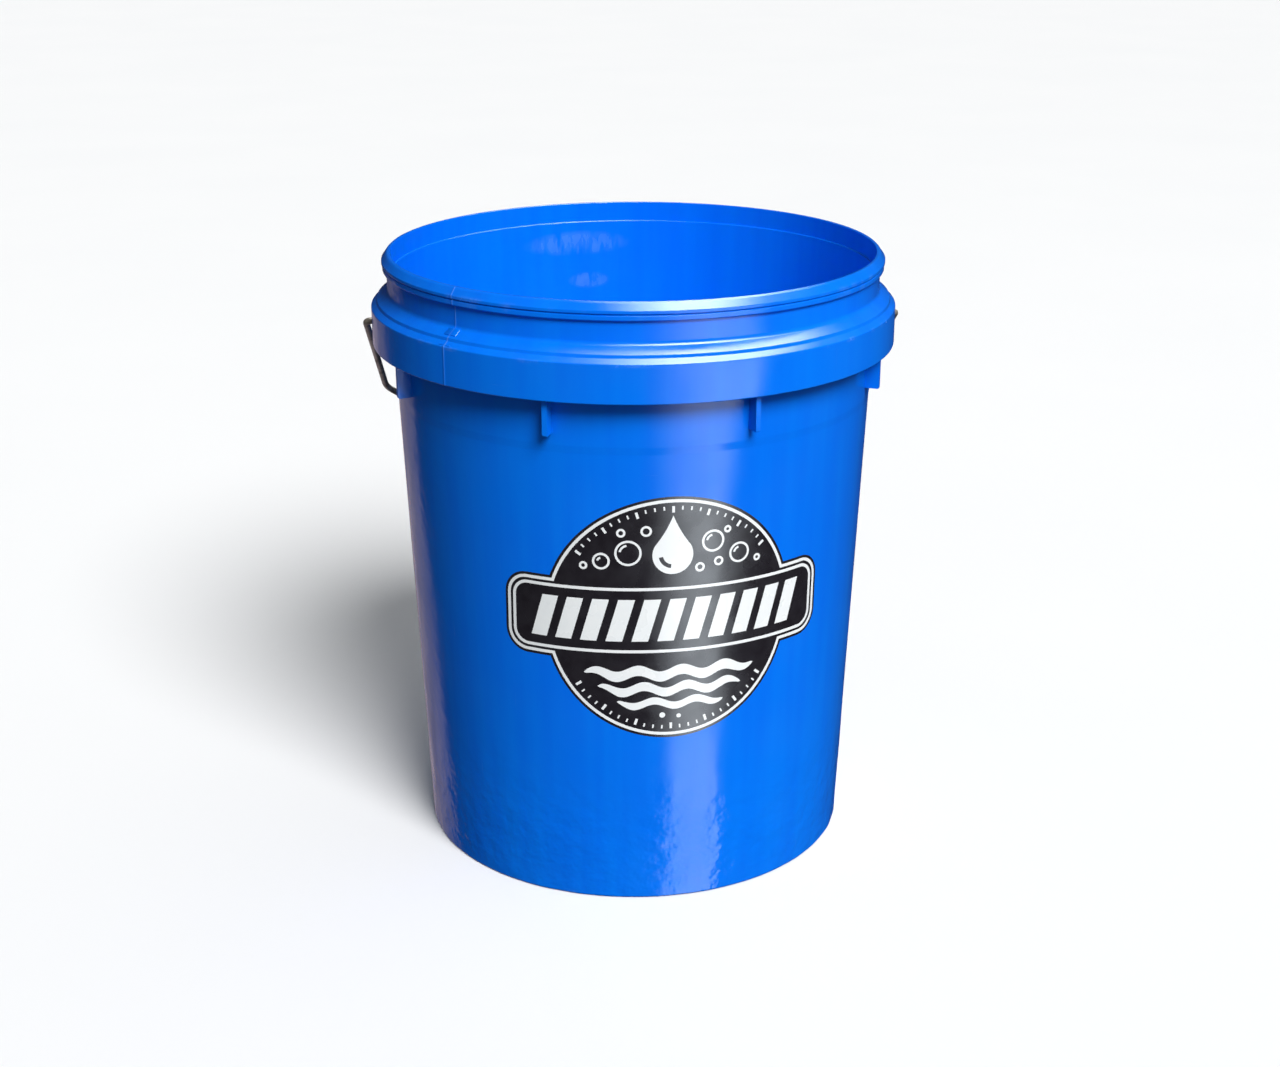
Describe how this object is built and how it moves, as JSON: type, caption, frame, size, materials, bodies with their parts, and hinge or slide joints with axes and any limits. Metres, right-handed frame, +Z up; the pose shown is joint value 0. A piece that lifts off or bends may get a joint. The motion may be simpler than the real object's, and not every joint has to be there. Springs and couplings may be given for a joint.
{
  "type": "wash bucket",
  "caption": "Round tapered plastic wash bucket with a stacking collar, snap-lid rim, swinging wire bail and a turning grip.",
  "frame": {"origin": "centre of the foot ring's underside, on the floor", "axes": "+Z up along the pail's axis, front (label) towards -Y, bail pivot axis along X, bail hanging at +Y"},
  "size_m": [0.3236, 0.3217, 0.365],
  "materials": {
    "pail_plastic": "glossy moulded polyethylene, saturated blue",
    "label_print": "black and white printed label, glossy",
    "bail_steel": "zinc-plated drawn wire, slightly dulled",
    "grip_plastic": "black moulded plastic, fine matt texture"
  },
  "bodies": {
    "bucket": {"foot_ring": "pail_plastic", "floor": "pail_plastic", "side_wall": "pail_plastic", "rim": "pail_plastic", "collar_shoulder": "pail_plastic", "collar_band": "pail_plastic", "collar_ribs": "pail_plastic", "bail_ear_left": "pail_plastic", "bail_ear_right": "pail_plastic", "label": "label_print"},
    "bail": {"bail_wire": "bail_steel"},
    "grip": {"bail_grip": "grip_plastic"}
  },
  "joints": [
    {"name": "bail_swing", "type": "hinge", "parent": "bucket", "child": "bail", "pos_m": [0, 0, 0.3224], "axis": [1, 0, 0], "range_deg": [0, 250]},
    {"name": "grip_spin", "type": "hinge", "parent": "bail", "child": "grip", "pos_m": [0, 0.15274, 0.21452], "axis": [1, 0, 0], "continuous": true}
  ]
}
